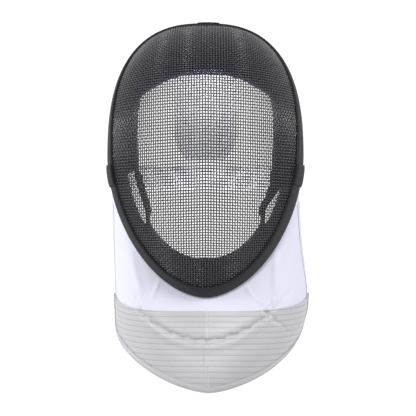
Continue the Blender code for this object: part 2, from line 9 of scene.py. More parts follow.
import bmesh
import bpy
import numpy as np
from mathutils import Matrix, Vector


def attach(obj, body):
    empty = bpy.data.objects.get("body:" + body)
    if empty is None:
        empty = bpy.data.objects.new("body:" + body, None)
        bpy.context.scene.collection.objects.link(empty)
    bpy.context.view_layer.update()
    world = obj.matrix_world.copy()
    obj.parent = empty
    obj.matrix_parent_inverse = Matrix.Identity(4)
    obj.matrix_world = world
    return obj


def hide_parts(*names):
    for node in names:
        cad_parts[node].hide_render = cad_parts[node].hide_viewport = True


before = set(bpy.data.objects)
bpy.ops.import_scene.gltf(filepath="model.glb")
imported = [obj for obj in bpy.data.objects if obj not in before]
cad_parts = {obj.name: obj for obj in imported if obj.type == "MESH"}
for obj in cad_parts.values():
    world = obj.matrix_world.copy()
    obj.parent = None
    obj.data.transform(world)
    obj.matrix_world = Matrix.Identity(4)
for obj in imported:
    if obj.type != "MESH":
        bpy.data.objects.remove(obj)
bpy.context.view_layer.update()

# Shape of the wire front, as in the solid model
HALF_WIDTH = 0.0995
CROWN_RISE = 0.1400
CHIN_DROP = 0.1465
CROWN_SQUARE = 2.6
CHIN_SQUARE = 1.82
FACE_REACH = 0.130
FACE_RISE = 0.005
CROWN_BACK = 0.021
EAR_FORWARD = 0.047
THROAT_FORWARD = 0.052
FULLNESS = (2.0, 1.8, 2.5)
PROFILE_TURN = (math.radians(59.5), math.radians(75.6), math.radians(84.3))

# Walls and gaps
MESH_WALL = 0.002
CLEARANCE = 0.0003
SLEEVE_GAP = 0.0005
LINING_GAP = 0.0008

# Woven wire: the spacing of the upright wires, of the level wires, and their thickness
UPRIGHT_PITCH = 0.00284
LEVEL_PITCH = 0.00307
WIRE = 0.00124
WIRE_SIDES = 6
WIRE_STOP = 0.0002

# Laying out the wires: how many to each side, the dome's map, and the solving of spacings
NET_REACH = 78
NET_TURNS = 720
NET_STEP = 0.0005
NET_COLUMNS = 620
NET_NUDGE = 1e-5
NET_ROUNDS = 6
NET_DAMPING = 1e-3

# Binding and its sleeves
TRIM_WALL = 0.002
TRIM_LIP = 0.015
TRIM_LIP_LEAN = 0.003
TRIM_INNER_LIP = 0.010
TRIM_SECTIONS = 240
WEB_POINTS = 9
LIP_BACK = 0.4
LIP_DOWN = 0.3
SLEEVE_SECTIONS = 17
SLEEVE_TAPER = 0.12
LAP_WALL = 0.0015
LAP_CLOTH = 0.0006
LAP_LENGTH = 0.024
LAP_OFFSET = 0.003
TAB_WALL = 0.0015
TAB_LENGTH = 0.022
TAB_TURN = math.radians(13)

# Lining. A sewn channel is a place and a half width across a pad, and a share of its depth
PAD_THICKNESS = 0.012
PAD_EDGE = 0.004
PAD_CHANNEL = (0.82, 0.05, 0.22)
PAD_ROWS = 24
PAD_LEAST_STEPS = 12
PAD_STEP = math.radians(1.5)
ROLL_THICKNESS = 0.008
LINING_THICKNESS = 0.003
PAD_SEAM = 0.0006
FOREHEAD_HALF_TURN = math.radians(49)
SLOT_TOP = {"left": math.radians(14.5), "right": math.radians(25.5)}
SLOT_BOTTOM = math.radians(49.5)
SLOT_INSIDE = 0.765
SLOT_OUTSIDE = 0.863
SLOT_CLOSED = {"left": (0.0, 0.65), "right": (0.75, 0.65)}
ROLL_LEAST_SHARE = 0.02
OPENING_BLUR = 12
FACE_OPENING = [
    # turn, share
    (-90, 0.764),
    (-78, 0.793),
    (-66, 0.827),
    (-56, 0.843),
    (-50, 0.800),
    (-43, 0.785),
    (-24, 0.745),
    (-8, 0.745),
    (12, 0.753),
    (27, 0.776),
    (36, 0.780),
    (41, 0.766),
    (46, 0.714),
    (54, 0.652),
    (67, 0.598),
    (78, 0.580),
    (90, 0.574),
]

# Bib
BIB_WALL = 0.0025
BIB_DROP = 0.2470
BIB_CURVE_RISE = 0.0615
BIB_CURVE_SQUARE = 1.52
BIB_HALF_WIDTH = 0.0975
BIB_FRONT = 0.062
BIB_BACK = 0.034
BIB_TOP_TURN = math.radians(20.5)
BIB_SWELL = {"left": 0.0, "right": 0.008}
BIB_SWELL_POWER = 2.4
BIB_LEAN = 0.003
BIB_CORNER_ACROSS = 0.14
BIB_CORNER_DOWN = 0.12
BIB_COLUMNS = 101
BIB_ROWS = 91
SEAM_GAP = 0.0001
HEM_GAP = 0.0001
HEM_ROUND = 0.08
HEM_LIP_DROP = 0.05
HEM_WEB_REACH = 0.8
HEM_WEB_DROP = 0.3
HEM_COLUMNS = 121
HEM_SIDE_ROWS = 24
EDGE_ROWS = 40
LAME_WALL = 0.0012
LAME_TOP_DROP = 0.164
LAME_SIDE_RISE = 0.016
LAME_ROWS = 101
HEM_WIDTH = 0.006
HEM_WALL = 0.0009
BINDING_START = 0.009
BINDING_STOP_GAP = 0.0018

# Folds of the bib in a front view: places and lengths in shares of HALF_WIDTH from the
# outline's centre, lean in degrees from level, lift in metres, and puckers as a share of it
FOLD_FADE = 0.12
PUCKER_SPACING = 0.0085
PUCKER_SWAY = 0.6
PUCKER_BEAT = 0.37
BIB_FOLDS = [
    # across, up, lean, half length, rise at the ends, half width, lift, puckers
    (0.00, -1.955, 0, 0.80, 0.42, 0.019, -0.0015, 0.5),
    (0.00, -2.02, 0, 0.66, 0.29, 0.05, 0.0014, 0.0),
    (0.00, -1.89, 0, 0.66, 0.29, 0.05, 0.0010, 0.0),
    (-0.67, -1.60, -65, 0.13, 0.00, 0.019, -0.0012, 0.4),
    (0.70, -1.72, -43, 0.23, 0.00, 0.019, -0.0013, 0.4),
    (0.66, -1.62, 68, 0.16, 0.00, 0.019, -0.0012, 0.4),
    (-0.72, -1.26, -75, 0.25, 0.00, 0.04, 0.0018, 0.0),
    (-0.52, -1.42, 70, 0.12, 0.00, 0.018, 0.0008, 0.0),
    (0.73, -1.27, 90, 0.26, 0.00, 0.04, 0.0020, 0.0),
    (0.46, -1.44, -56, 0.12, 0.00, 0.018, 0.0008, 0.0),
]

# Quilting of the grey layer, and stitches
QUILT_SPACING = 0.0057
QUILT_DEPTH = 0.00016
QUILT_SHARPNESS = 24
QUILT_RISE_SHARE = 0.5
STITCH_LENGTH = 0.0022
STITCH_SPACING = 0.0031
SEAM_STITCH_SIDE = 0.0009
STITCH_ARCH = 0.55
STITCH_SINK = 0.15
STITCH_TIP = 0.35
STITCH_REACH = 0.985
STITCH_POINTS = 5
SEAM_POINTS = 200
HEM_POINTS = 900
HEM_STITCH_SHARE = 0.75
THREAD = 0.0006
SEAM_DIP = 0.0005
SEAM_DIP_WIDTH = 0.0013

# Tongue and strap
TONGUE_WIDTH = 0.070
TONGUE_WALL = 0.006
TONGUE_BACK = 0.092
TONGUE_DROP = 0.100
TONGUE_END_ANGLE = math.radians(115)
TONGUE_OVERLAP = 0.009
TONGUE_ROUND = 0.18
TONGUE_NARROWING = 0.75
TONGUE_CHANNEL = (0.84, 0.035, 0.35)
TONGUE_ROWS = 91
TONGUE_COLUMNS = 41
STRAP_WIDTH = 0.025
STRAP_WALL = 0.002
STRAP_BACK = 0.104
STRAP_EDGE_POWER = 0.35
STRAP_FACE_POWER = 0.6
STRAP_LEAN_TURN = math.radians(7.5)
STRAP_SECTIONS = 121
STRAP_POINTS = 32

# How finely surfaces are cut, and the step that slopes are taken over
MERIDIAN_SAMPLES = 160
DIFFERENCE = 0.0005
BIB_DIFFERENCE = 0.002
FIRST_OUT = 0.02

# Finishes: spacings of weaves and ribs, depths of their relief, and scales of their clouds
TAPE_WEAVE = 0.0009
TAPE_RELIEF = 0.00012
TWILL_SPACING = 0.0008
TWILL_TURN = math.radians(50)
TWILL_RELIEF = 0.00008
NAP_RELIEF = 0.0004
LAME_CHECK = 0.0021
LAME_RELIEF = 0.0001
QUILT_LINE_POWER = 14.0
QUILT_LINE_SHARE = 0.75
ELASTIC_RIB = 0.0016
ELASTIC_RELIEF = 0.0003
CLOUD = {"wire": 300.0, "tape": 160.0, "nap": 700.0, "cotton": 60.0, "lame": 220.0, "thread": 900.0}

# Numbers of the colour sockets of Blender's Mix node, and radians in a unit of its Wave node
MIX_INPUTS = (0, 6, 7)
MIX_OUTPUT = 2
WAVE_TURN = 20

# View and studio: metres a pixel at the view plane, and the view's middle, in pixels to the
# right of and below the outline's centre
PIXEL = 0.00106
PHOTO_WIDTH = 416
SENSOR = 36
VIEW_DISTANCE = 2.0
VIEW_PLANE = -0.02
VIEW_ACROSS = 2.5
VIEW_DOWN = 53
FLOOR_DROP = 0.9
BACKDROP_BEND = 0.8
BACKDROP_TOP = 4.4
BACKDROP_FRONT = -0.6
BACKDROP_HALF_WIDTH = 4
BACKDROP_ROWS = 25
WORLD_LIGHT = 0.30


def unit(vectors):
    """Vectors of length one."""
    return vectors / np.linalg.norm(vectors, axis=-1, keepdims=True)


def to_power(value, power):
    """A number to a power, with its own sign."""
    return np.sign(value) * np.abs(value) ** power


def by_height(height, values):
    """A value that goes smoothly from the chin (-1) past the ears (0) to the crown (+1)."""
    chin, ears, crown = values
    return ears + (crown - chin) / 2 * height + ((crown + chin) / 2 - ears) * height**2


def rim_outline(turn):
    """Edge of the wire front in a front view: its radius, and its height as -1 to +1.

    A squared ellipse: |x / width| and |z / reach| to a power add up to one.
    """
    upper = np.sin(turn) >= 0
    reach = np.where(upper, CROWN_RISE, CHIN_DROP)
    power = np.where(upper, CROWN_SQUARE, CHIN_SQUARE)
    sideways = np.abs(np.cos(turn) / HALF_WIDTH) ** power
    radius = (sideways + np.abs(np.sin(turn) / reach) ** power) ** (-1 / power)
    return radius, radius * np.sin(turn) / reach


def dome_profile(turn):
    """Fullness and end angle of the dome's profile at a turn."""
    height = rim_outline(turn)[1]
    return by_height(height, FULLNESS), by_height(height, PROFILE_TURN)


def dome_shape(turn, out):
    """The wire front's middle surface, from its foremost point (out 0) to its edge (out 1).

    With an angle that runs from 0 to the end angle, the share of the radius is sin to the
    power 2 / fullness, and the depth falls as cos to the same power.
    """
    radius, height = rim_outline(turn)
    fullness, end = dome_profile(turn)
    power = 2 / fullness
    share = (np.sin(out * end) / np.sin(end)) ** power
    depth = (1 - to_power(np.cos(out * end), power)) / (1 - to_power(np.cos(end), power))
    edge_y = by_height(height, (-THROAT_FORWARD, -EAR_FORWARD, CROWN_BACK))
    return np.stack(
        [
            share * radius * np.cos(turn),
            -FACE_REACH + depth * (edge_y + FACE_REACH),
            share * radius * np.sin(turn) + (1 - share) * FACE_RISE,
        ],
        axis=-1,
    )


def crown_seat_height():
    """Height of the lining's inner face at the crown, over the outline's centre."""
    turns = np.full(MERIDIAN_SAMPLES, math.pi / 2)
    line = dome_shape(turns, np.linspace(0, 1, MERIDIAN_SAMPLES))
    wall_height = np.interp(0, line[:, 1], line[:, 2])
    return wall_height - MESH_WALL / 2 - LINING_GAP - PAD_THICKNESS


CENTRE_Z = -crown_seat_height()


def dome_point(turn, out):
    """The wire front's middle surface, in the part's own frame."""
    return dome_shape(turn, out) + np.array([0, 0, CENTRE_Z])


def out_of_share(turn, share):
    """The dome's out value at which a profile has gone a share of the way to the edge."""
    fullness, end = dome_profile(turn)
    return np.arcsin(np.sin(end) * share ** (fullness / 2)) / end


def out_at_distance(turn, distance):
    """The dome's out value at a distance along the wall from its edge."""
    outs = np.linspace(0, 1, MERIDIAN_SAMPLES)
    lines = dome_point(turn[:, None], outs[None, :])
    steps = np.linalg.norm(np.diff(lines, axis=1), axis=-1)
    lengths = np.concatenate([np.zeros((len(turn), 1)), np.cumsum(steps, axis=1)], axis=1)
    to_edge = lengths[:, -1:] - lengths
    distances = np.broadcast_to(distance, turn.shape)
    found = [np.interp(d, row[::-1], outs[::-1]) for d, row in zip(distances, to_edge)]
    return np.array(found)


def dome_directions(turn, out):
    """The dome's outward normal, and the direction along it towards its edge."""
    out = np.clip(out, FIRST_OUT, 1 - DIFFERENCE)
    around = dome_point(turn + DIFFERENCE, out) - dome_point(turn - DIFFERENCE, out)
    outward = dome_point(turn, out + DIFFERENCE) - dome_point(turn, out - DIFFERENCE)
    return unit(np.cross(outward, around)), unit(outward)


def dome_offset(turn, out, offset):
    """A point at an offset outside the middle of the wire front's wall."""
    normal = dome_directions(turn, out)[0]
    return dome_point(turn, out) + normal * np.asarray(offset)[..., None]


def edge_point(turn, distance, offset):
    """A point near the edge: a distance in from it, or beyond it where that is negative."""
    inside = out_at_distance(turn, np.maximum(distance, 0))
    normal, along = dome_directions(turn, inside)
    beyond = np.maximum(-np.asarray(distance), 0) * np.ones_like(turn)
    lift = np.asarray(offset) * np.ones_like(turn)
    return dome_point(turn, inside) + normal * lift[:, None] + along * beyond[:, None]


# Meshes


def cells(grid):
    """The four corners of each cell of a grid, going round it."""
    corners = [grid[:-1, :-1], grid[:-1, 1:], grid[1:, 1:], grid[1:, :-1]]
    return np.stack(corners, axis=2).reshape(-1, 4, *grid.shape[2:])


def new_piece(name, surface, finish, node=None, smooth=35):
    """A piece from a surface and a finish, which rides on the mask.

    A surface is its points and its shell: its four-sided faces, the places of their corners
    on the cloth in metres, which become the piece's UV map, and its flat ends. A finish is
    a material and the slot that it belongs to.
    """
    points, (faces, places, ends) = surface
    material, slot = finish
    corners = np.concatenate([faces.ravel(), *ends]).astype(np.int32)
    sizes = np.array([4] * len(faces) + [len(end) for end in ends])
    spots = np.zeros((len(corners), 2), np.float32)
    spots[: faces.size] = places.reshape(-1, 2)
    mesh = bpy.data.meshes.new(name)
    mesh.vertices.add(len(points))
    mesh.vertices.foreach_set("co", np.ascontiguousarray(points, np.float32).ravel())
    mesh.loops.add(len(corners))
    mesh.loops.foreach_set("vertex_index", corners)
    mesh.polygons.add(len(sizes))
    mesh.polygons.foreach_set("loop_start", (np.cumsum(sizes) - sizes).astype(np.int32))
    mesh.uv_layers.new(name="cloth").data.foreach_set("uv", spots.ravel())
    mesh.update(calc_edges=True)
    shape = bmesh.new()
    shape.from_mesh(mesh)
    loose = [corner for corner in shape.verts if not corner.link_faces]
    bmesh.ops.delete(shape, geom=loose, context="VERTS")
    bmesh.ops.recalc_face_normals(shape, faces=shape.faces)
    shape.to_mesh(mesh)
    shape.free()
    mesh.shade_smooth()
    mesh.set_sharp_from_angle(angle=math.radians(smooth))
    mesh.materials.append(material)
    piece = bpy.data.objects.new(name, mesh)
    bpy.context.collection.objects.link(piece)
    if node:
        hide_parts(node)
    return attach(piece, "root")


def joined(panels, ends=()):
    """The shell of several panels. A panel is a grid of point numbers with one of places."""
    faces = np.concatenate([cells(numbers) for numbers, places in panels])
    places = np.concatenate([cells(places) for numbers, places in panels])
    return faces, places, list(ends)


def metres_along(points, axis):
    """Length along the rows or columns of a grid of points."""
    steps = np.linalg.norm(np.diff(points, axis=axis), axis=-1)
    total = np.cumsum(steps, axis=axis)
    return np.concatenate([np.zeros_like(np.take(total, [0], axis=axis)), total], axis=axis)


def wall(outer, inner, places=None):
    """Points and shell of a closed wall between two grids of points."""
    if places is None:
        places = np.stack([metres_along(outer, 1), metres_along(outer, 0)], axis=-1)
    rows, columns = outer.shape[:2]
    top = np.arange(rows * columns).reshape(rows, columns)
    low = top + rows * columns
    panels = [(top, places), (low, places)]
    for edge in (np.s_[0, :], np.s_[-1, :], np.s_[:, 0], np.s_[:, -1]):
        strip = np.stack([places[edge], places[edge]])
        panels.append((np.stack([top[edge], low[edge]]), strip))
    return np.concatenate([outer.reshape(-1, 3), inner.reshape(-1, 3)]), joined(panels)


def swept(sections, ring=False):
    """Points and shell of a solid through a row of closed sections, in a ring or with ends."""
    count, around = sections.shape[:2]
    numbers = np.arange(count * around).reshape(count, around)
    lines = np.concatenate([sections, sections[:, :1]], axis=1)
    numbers = np.concatenate([numbers, numbers[:, :1]], axis=1)
    if ring:
        numbers = np.concatenate([numbers, numbers[:1]])
        lines = np.concatenate([lines, lines[:1]])
    places = np.stack([metres_along(lines, 0), metres_along(lines, 1)], axis=-1)
    places[..., 0] = places[..., :1, 0].mean(axis=1, keepdims=True)
    ends = [] if ring else [numbers[0, :-1], numbers[-1, :-1]]
    return sections.reshape(-1, 3), joined([(numbers, places)], ends)


def rings_round(centres, sideways, upwards, size, sides):
    """Rings of points round centres, in the planes of two directions square to the line."""
    angles = (np.arange(sides) * 2 * math.pi / sides)[:, None]
    ring = sideways[..., None, :] * np.cos(angles) + upwards[..., None, :] * np.sin(angles)
    return centres[..., None, :] + ring * np.asarray(size)[..., None, None]


# Finishes


def new_finish(name, colour, roughness, **sockets):
    """A material and its shader, with values that are the same all over it."""
    material = bpy.data.materials.new(name)
    material.use_nodes = True
    shader = material.node_tree.nodes["Principled BSDF"]
    shader.inputs["Base Color"].default_value = (*colour, 1)
    shader.inputs["Roughness"].default_value = roughness
    for socket, value in sockets.items():
        shader.inputs[socket.replace("_", " ")].default_value = value
    return material, shader


def add_node(material, kind, inputs=(), **settings):
    """A shader node. An input is a value, or the output of another node."""
    node = material.node_tree.nodes.new(kind)
    for setting, value in settings.items():
        setattr(node, setting, value)
    for socket, value in dict(inputs).items():
        if isinstance(value, bpy.types.NodeSocket):
            material.node_tree.links.new(value, node.inputs[socket])
        else:
            node.inputs[socket].default_value = value
    return node


def object_place(material):
    """A place in the part's own frame, in metres."""
    return add_node(material, "ShaderNodeTexCoord").outputs["Object"]


def cloth_place(material, turn=0.0):
    """A place on the cloth in metres, turned by an angle."""
    spot = add_node(material, "ShaderNodeUVMap", uv_map="cloth").outputs["UV"]
    if not turn:
        return spot
    mapping = add_node(material, "ShaderNodeMapping", {"Vector": spot, "Rotation": (0, 0, turn)})
    return mapping.outputs["Vector"]


def ribs(material, place, spacing, direction):
    """A wave from 0 to 1 across the cloth, once in each spacing of metres."""
    inputs = {"Vector": place, "Scale": 2 * math.pi / WAVE_TURN / spacing}
    wave = add_node(material, "ShaderNodeTexWave", inputs, bands_direction=direction)
    return wave.outputs["Fac"]


def combine(material, operation, *values):
    """The result of a sum on one or more values."""
    inputs = dict(enumerate(values))
    return add_node(material, "ShaderNodeMath", inputs, operation=operation).outputs[0]


def mottle(material, place, scale, detail=4.0):
    """Soft cloudy variation from 0 to 1."""
    inputs = {"Vector": place, "Scale": scale, "Detail": detail}
    return add_node(material, "ShaderNodeTexNoise", inputs).outputs["Fac"]


def tint(material, amount, first, second):
    """A colour between two, by an amount. A colour is three numbers, or a node's output."""
    colours = [c if isinstance(c, bpy.types.NodeSocket) else (*c, 1) for c in (first, second)]
    inputs = dict(zip(MIX_INPUTS, (amount, *colours)))
    return add_node(material, "ShaderNodeMix", inputs, data_type="RGBA").outputs[MIX_OUTPUT]


def emboss(material, shader, height, depth, strength=1.0):
    """Relief of a depth in metres from a height of 0 to 1."""
    inputs = {"Height": height, "Distance": depth, "Strength": strength}
    bump = add_node(material, "ShaderNodeBump", inputs)
    material.node_tree.links.new(bump.outputs["Normal"], shader.inputs["Normal"])


def paint(material, shader, colour):
    """Sets the shader's colour from a node."""
    material.node_tree.links.new(colour, shader.inputs["Base Color"])


def weave(material, place, spacing):
    """Height of a plain weave: two sets of ribs, each raised where the other is low."""
    across = ribs(material, place, spacing, "X")
    down = ribs(material, place, spacing, "Y")
    return combine(material, "ABSOLUTE", combine(material, "SUBTRACT", across, down))


def coated_wire():
    """Black coated steel wire with a soft shine, with painted light where it lies over another wire
    and painted shade where it lies under.
    """
    material, shader = new_finish("coated_wire", (0.035, 0.035, 0.038), 0.27)
    parts = add_node(material, "ShaderNodeSeparateXYZ", {"Vector": cloth_place(material)})
    cloud = combine(material, "ADD", mottle(material, object_place(material), CLOUD["wire"]), 0.5)
    # Painted light and shade: near black where the wire dips under another and grey where it rides
    # over, with a cloud of random tone
    over_light_under_shade = combine(material, "POWER", parts.outputs["X"], 1.6)
    amount = combine(material, "MULTIPLY", over_light_under_shade, cloud)
    paint(material, shader, tint(material, amount, (0.005, 0.005, 0.007), (0.10, 0.10, 0.11)))
    return material, "coated_wire"


def binding_tape():
    """Black woven binding tape, dull, with fine ribs along it and dust in its hollows."""
    material, shader = new_finish(
        "black_binding", (0.015, 0.015, 0.017), 0.75,
        Specular_IOR_Level=0.2, Sheen_Weight=0.08, Sheen_Roughness=0.6,
    )
    place = cloth_place(material)
    cloud = mottle(material, place, CLOUD["tape"])
    paint(material, shader, tint(material, cloud, (0.014, 0.014, 0.016), (0.026, 0.026, 0.029)))
    emboss(material, shader, weave(material, place, TAPE_WEAVE), TAPE_RELIEF, 0.6)
    return material, "black_binding"


def padding(name, dark, light):
    """Brushed cloth over foam: soft sheen and a fine uneven nap."""
    material, shader = new_finish(
        name, dark, 0.9, Specular_IOR_Level=0.05, Sheen_Weight=0.03, Sheen_Roughness=0.5
    )
    nap = mottle(material, cloth_place(material), CLOUD["nap"], 6.0)
    paint(material, shader, tint(material, nap, dark, light))
    emboss(material, shader, nap, NAP_RELIEF, 0.7)
    return material, name


def white_cotton(name, dark, light):
    """Heavy white cotton: a fine twill and soft clouding between two tints."""
    material, shader = new_finish(name, light, 0.85, Sheen_Weight=0.05)
    cloud = mottle(material, cloth_place(material), CLOUD["cotton"])
    paint(material, shader, tint(material, cloud, dark, light))
    twill = ribs(material, cloth_place(material, TWILL_TURN), TWILL_SPACING, "X")
    emboss(material, shader, twill, TWILL_RELIEF, 0.5)
    return material, "white_cotton"


def grey_lame():
    """Grey conductive cloth: a fine metallic check, and quilting lines across it."""
    material, shader = new_finish("grey_lame", (0.6, 0.6, 0.62), 0.5, Metallic=0.1)
    place = cloth_place(material)
    check = weave(material, place, LAME_CHECK)
    base = tint(material, check, (0.50, 0.50, 0.52), (0.66, 0.66, 0.685))
    between = ribs(material, place, QUILT_SPACING, "Y")
    near = combine(material, "SUBTRACT", 1.0, between)
    uneven = combine(material, "ADD", mottle(material, place, CLOUD["lame"]), 0.35)
    line = combine(material, "POWER", near, QUILT_LINE_POWER)
    line = combine(material, "MULTIPLY", line, uneven)
    amount = combine(material, "MULTIPLY", line, QUILT_LINE_SHARE)
    paint(material, shader, tint(material, amount, base, (0.34, 0.34, 0.36)))
    emboss(material, shader, combine(material, "SUBTRACT", check, line), LAME_RELIEF, 0.5)
    return material, "grey_lame"


def white_elastic():
    """Woven white elastic with ribs along the strap, with painted shade in the hollows between the
    ribs and painted light on their tops.
    """
    material, shader = new_finish("white_elastic", (0.76, 0.76, 0.77), 0.8)
    across = ribs(material, cloth_place(material), ELASTIC_RIB, "Y")
    # Painted shade and light: the colour follows the ribs' relief, darker in their hollows and
    # lighter on their tops
    paint(material, shader, tint(material, across, (0.74, 0.74, 0.76), (0.83, 0.83, 0.85)))
    emboss(material, shader, across, ELASTIC_RELIEF, 0.8)
    return material, "white_elastic"


def sewing_thread(name, colour):
    """Twisted sewing thread for the grey cloth, darker in its hollows."""
    material, shader = new_finish(name, colour, 0.6)
    darker = tuple(0.7 * part for part in colour)
    twist = mottle(material, object_place(material), CLOUD["thread"])
    paint(material, shader, tint(material, twist, darker, colour))
    return material, "grey_lame"


# Woven wire front


def dome_rays(turns, step, count):
    """The dome at even lengths out from its foremost point, for each turn.

    Past the edge each ray goes straight on. Also gives each ray's length to the edge.
    """
    outs = np.linspace(0, 1, 2 * MERIDIAN_SAMPLES)
    lines = dome_point(turns[:, None], outs[None, :])
    lengths = metres_along(lines, 1)
    even = np.arange(count) * step
    rays = [
        np.stack([np.interp(even, length, line[:, axis]) for axis in range(3)], axis=-1)
        for length, line in zip(lengths, lines)
    ]
    beyond = np.maximum(even[None, :] - lengths[:, -1:], 0)
    along = dome_directions(turns, np.ones_like(turns))[1]
    return np.array(rays) + along[:, None, :] * beyond[..., None], lengths[:, -1]


NET_RAYS, NET_LENGTHS = dome_rays(
    np.arange(NET_TURNS + 1) * 2 * math.pi / NET_TURNS, NET_STEP, NET_COLUMNS
)


def net_spot(spot):
    """Turn index and length index of a flat spot on the net's map, and their fractions."""
    length = np.linalg.norm(spot, axis=-1) / NET_STEP
    turn = np.mod(np.arctan2(spot[..., 1], spot[..., 0]), 2 * math.pi) / 2 / math.pi * NET_TURNS
    row = np.clip(turn.astype(int), 0, NET_TURNS - 1)
    column = np.clip(length.astype(int), 0, NET_RAYS.shape[1] - 2)
    return row, column, turn - row, length - column


def on_dome(spot):
    """Point of the dome for a flat spot, whose turn and distance are the dome's own."""
    row, column, over, past = net_spot(spot)
    over, past = over[..., None], past[..., None]
    near = NET_RAYS[row, column] * (1 - past) + NET_RAYS[row, column + 1] * past
    far = NET_RAYS[row + 1, column] * (1 - past) + NET_RAYS[row + 1, column + 1] * past
    return near * (1 - over) + far * over


def room_to_edge(spot):
    """Length from a flat spot out to the edge, negative beyond it."""
    row, _, over, _ = net_spot(spot)
    reach = NET_LENGTHS[row] * (1 - over) + NET_LENGTHS[row + 1] * over
    return reach - np.linalg.norm(spot, axis=-1)


def net_quarter(side, up):
    """Flat spots of the wire crossings in one quarter of the net.

    Wires keep their spacing along each other, as in a cloth pulled over a form: each
    crossing is one spacing from the one beside it and from the one above or below, which
    Newton's method solves for a whole diagonal at once.
    """
    steps = np.arange(NET_REACH)
    spots = np.zeros((NET_REACH, NET_REACH, 2))
    spots[:, 0, 0] = side * steps * UPRIGHT_PITCH
    spots[0, :, 1] = up * steps * LEVEL_PITCH
    spacing = np.array([LEVEL_PITCH, UPRIGHT_PITCH])
    for diagonal in range(2, 2 * NET_REACH - 1):
        i = np.arange(max(1, diagonal - NET_REACH + 1), min(NET_REACH, diagonal))
        j = diagonal - i
        below, beside = spots[i, j - 1], spots[i - 1, j]
        spot = below + beside - spots[i - 1, j - 1]
        anchors = np.stack([on_dome(below), on_dome(beside)], axis=1)
        for _ in range(NET_ROUNDS):
            near = [spot, spot + (NET_NUDGE, 0), spot + (0, NET_NUDGE)]
            gaps = [
                np.linalg.norm(on_dome(place)[:, None] - anchors, axis=-1) for place in near
            ]
            error = gaps[0] - spacing
            slope = np.stack([gaps[1] - gaps[0], gaps[2] - gaps[0]], axis=-1) / NET_NUDGE
            square = slope.transpose(0, 2, 1) @ slope + np.eye(2) * NET_DAMPING
            pull = slope.transpose(0, 2, 1) @ error[..., None]
            move = np.linalg.solve(square, pull)[..., 0]
            spot = spot - np.clip(move, -LEVEL_PITCH / 2, LEVEL_PITCH / 2)
        spots[i, j] = spot
    return spots


def net_crossings():
    """Flat spots of all wire crossings: upright wires by level wires."""
    full = np.zeros((2 * NET_REACH - 1, 2 * NET_REACH - 1, 2))
    middle = NET_REACH - 1
    for side in (1, -1):
        for up in (1, -1):
            columns = middle + side * np.arange(NET_REACH)
            rows = middle + up * np.arange(NET_REACH)
            full[np.ix_(columns, rows)] = net_quarter(side, up)
    return full


def wire_set(name, points, normals, over, shown, finish):
    """All the wires that run along the second axis of a grid of crossings, as one piece.

    Each crossing has a ring of points round its wire, square to the line between the two
    crossings beside it, and the ends are closed. Its UV map's first number is 1 where the
    wire lies over another and 0 where it lies under, which its finish uses for painted light and
    shade.
    """
    before = np.concatenate([points[:, :1], points[:, :-1]], axis=1)
    after = np.concatenate([points[:, 1:], points[:, -1:]], axis=1)
    along = unit(after - before)
    sideways = unit(np.cross(along, normals))
    rings = rings_round(points, sideways, np.cross(sideways, along), WIRE / 2, WIRE_SIDES)
    number = np.full(shown.shape, -1)
    number[shown] = np.arange(shown.sum())
    linked = shown[:, :-1] & shown[:, 1:]
    first, second = number[:, :-1][linked], number[:, 1:][linked]
    corner = np.arange(WIRE_SIDES)
    turned = np.roll(corner, -1)
    near, far = first[:, None] * WIRE_SIDES, second[:, None] * WIRE_SIDES
    sides = [near + corner, near + turned, far + turned, far + corner]
    sides = np.stack(sides, axis=-1).reshape(-1, 4)
    starts = number[:, :-1][linked & ~np.pad(linked, ((0, 0), (1, 0)))[:, :-1]]
    stops = number[:, 1:][linked & ~np.pad(linked, ((0, 0), (0, 1)))[:, 1:]]
    last = WIRE_SIDES - 1
    quads = [np.array([a, a + 1, last - 1 - a, last - a]) for a in range(WIRE_SIDES // 2 - 1)]
    ends = [end[:, None] * WIRE_SIDES + quad for end in (starts, stops) for quad in quads]
    faces = np.concatenate([sides, *ends])
    high = over[shown].astype(float)
    places = np.zeros((len(faces), 4, 2))
    corners = np.stack([high[first], high[first], high[second], high[second]], axis=-1)
    places[: len(sides), :, 0] = np.repeat(corners, WIRE_SIDES, axis=0)
    surface = rings[shown].reshape(-1, 3), (faces, places, [])
    return new_piece(name, surface, finish, "wire_mesh", smooth=75)


def make_wire_net(finish):
    """The woven wire front: upright and level wires that go over and under each other."""
    spots = net_crossings()
    points = on_dome(spots)
    step = 2 * NET_STEP
    sideways = on_dome(spots + (step, 0)) - on_dome(spots - (step, 0))
    upwards = on_dome(spots + (0, step)) - on_dome(spots - (0, step))
    normals = unit(np.cross(sideways, upwards))
    shown = room_to_edge(spots) > WIRE_STOP
    parity = np.indices(shown.shape).sum(axis=0) % 2 * 2 - 1
    lift = normals * (parity * WIRE / 2)[..., None]
    wire_set("upright_wires", points + lift, normals, parity > 0, shown, finish)
    level, outward = (points - lift).transpose(1, 0, 2), normals.transpose(1, 0, 2)
    wire_set("level_wires", level, outward, parity.T < 0, shown.T, finish)


# Binding


def trim_lip(turns):
    """Width of the binding's outer lip, which leans to the +X side."""
    return TRIM_LIP + TRIM_LIP_LEAN * np.cos(turns)


